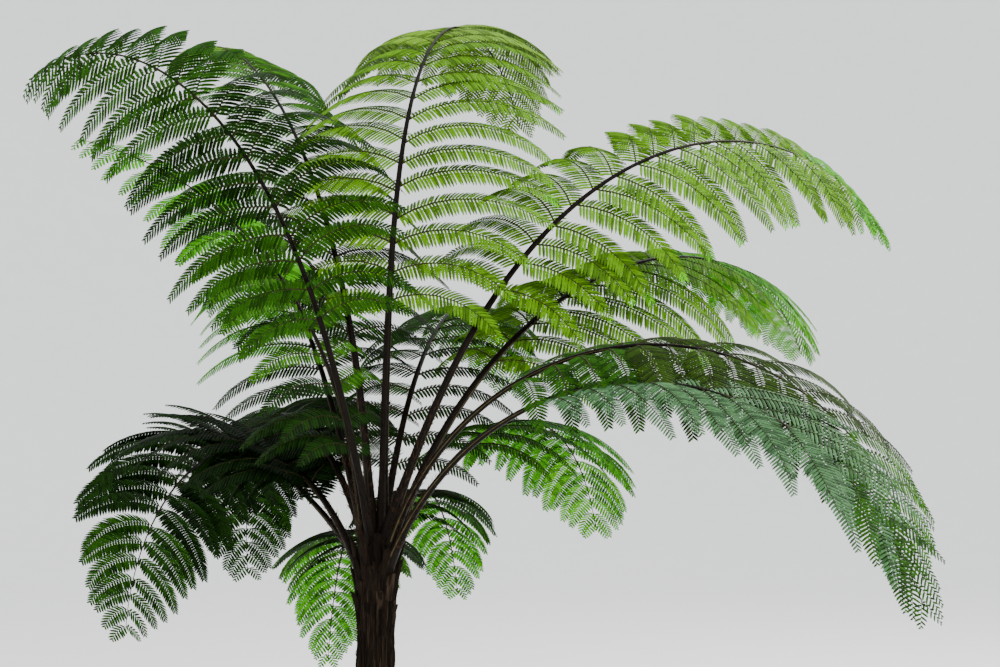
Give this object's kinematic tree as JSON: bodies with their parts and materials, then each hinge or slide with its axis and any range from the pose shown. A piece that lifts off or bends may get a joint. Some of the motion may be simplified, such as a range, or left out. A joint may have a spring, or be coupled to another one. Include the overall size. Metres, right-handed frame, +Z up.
{
  "type": "tree fern",
  "caption": "Tree fern with a fibrous trunk from a flat cut at ground level and a crown of long arching fronds with leaflets on both sides.",
  "frame": {"origin": "centre of the flat cut under the trunk, at ground level", "axes": "+Z up along the trunk, -Y the side that faces the viewer in the picture, +X to the viewer's right"},
  "size_m": [3.5265, 3.7028, 3.7013],
  "materials": {
    "trunk": "rough, dark brown root fibres and old stalk stumps",
    "stalk": "dark brown to black, slightly glossy, with scales at the foot",
    "leaf": "soft green leaflets, satin"
  },
  "bodies": {
    "root": {"back_left_hanging_blade": "leaf", "back_left_hanging_stalk": "stalk", "back_left_hanging_tip": "leaf", "back_middle_blade": "leaf", "back_middle_stalk": "stalk", "back_middle_tip": "leaf", "back_right_hanging_blade": "leaf", "back_right_hanging_stalk": "stalk", "back_right_hanging_tip": "leaf", "back_right_low_blade": "leaf", "back_right_low_stalk": "stalk", "back_right_low_tip": "leaf", "left_back_blade": "leaf", "left_back_low_blade": "leaf", "left_back_low_stalk": "stalk", "left_back_low_tip": "leaf", "left_back_stalk": "stalk", "left_back_tip": "leaf", "left_far_low_blade": "leaf", "left_far_low_stalk": "stalk", "left_far_low_tip": "leaf", "left_high_blade": "leaf", "left_high_stalk": "stalk", "left_high_tip": "leaf", "left_low_blade": "leaf", "left_low_stalk": "stalk", "left_low_tip": "leaf", "left_side_blade": "leaf", "left_side_stalk": "stalk", "left_side_tip": "leaf", "left_upright_blade": "leaf", "left_upright_stalk": "stalk", "left_upright_tip": "leaf", "right_back_blade": "leaf", "right_back_stalk": "stalk", "right_back_tip": "leaf", "right_high_blade": "leaf", "right_high_stalk": "stalk", "right_high_tip": "leaf", "right_low_blade": "leaf", "right_low_stalk": "stalk", "right_low_tip": "leaf", "right_middle_blade": "leaf", "right_middle_stalk": "stalk", "right_middle_tip": "leaf", "trunk": "trunk", "upright_blade": "leaf", "upright_stalk": "stalk", "upright_tip": "leaf"}
  },
  "joints": []
}
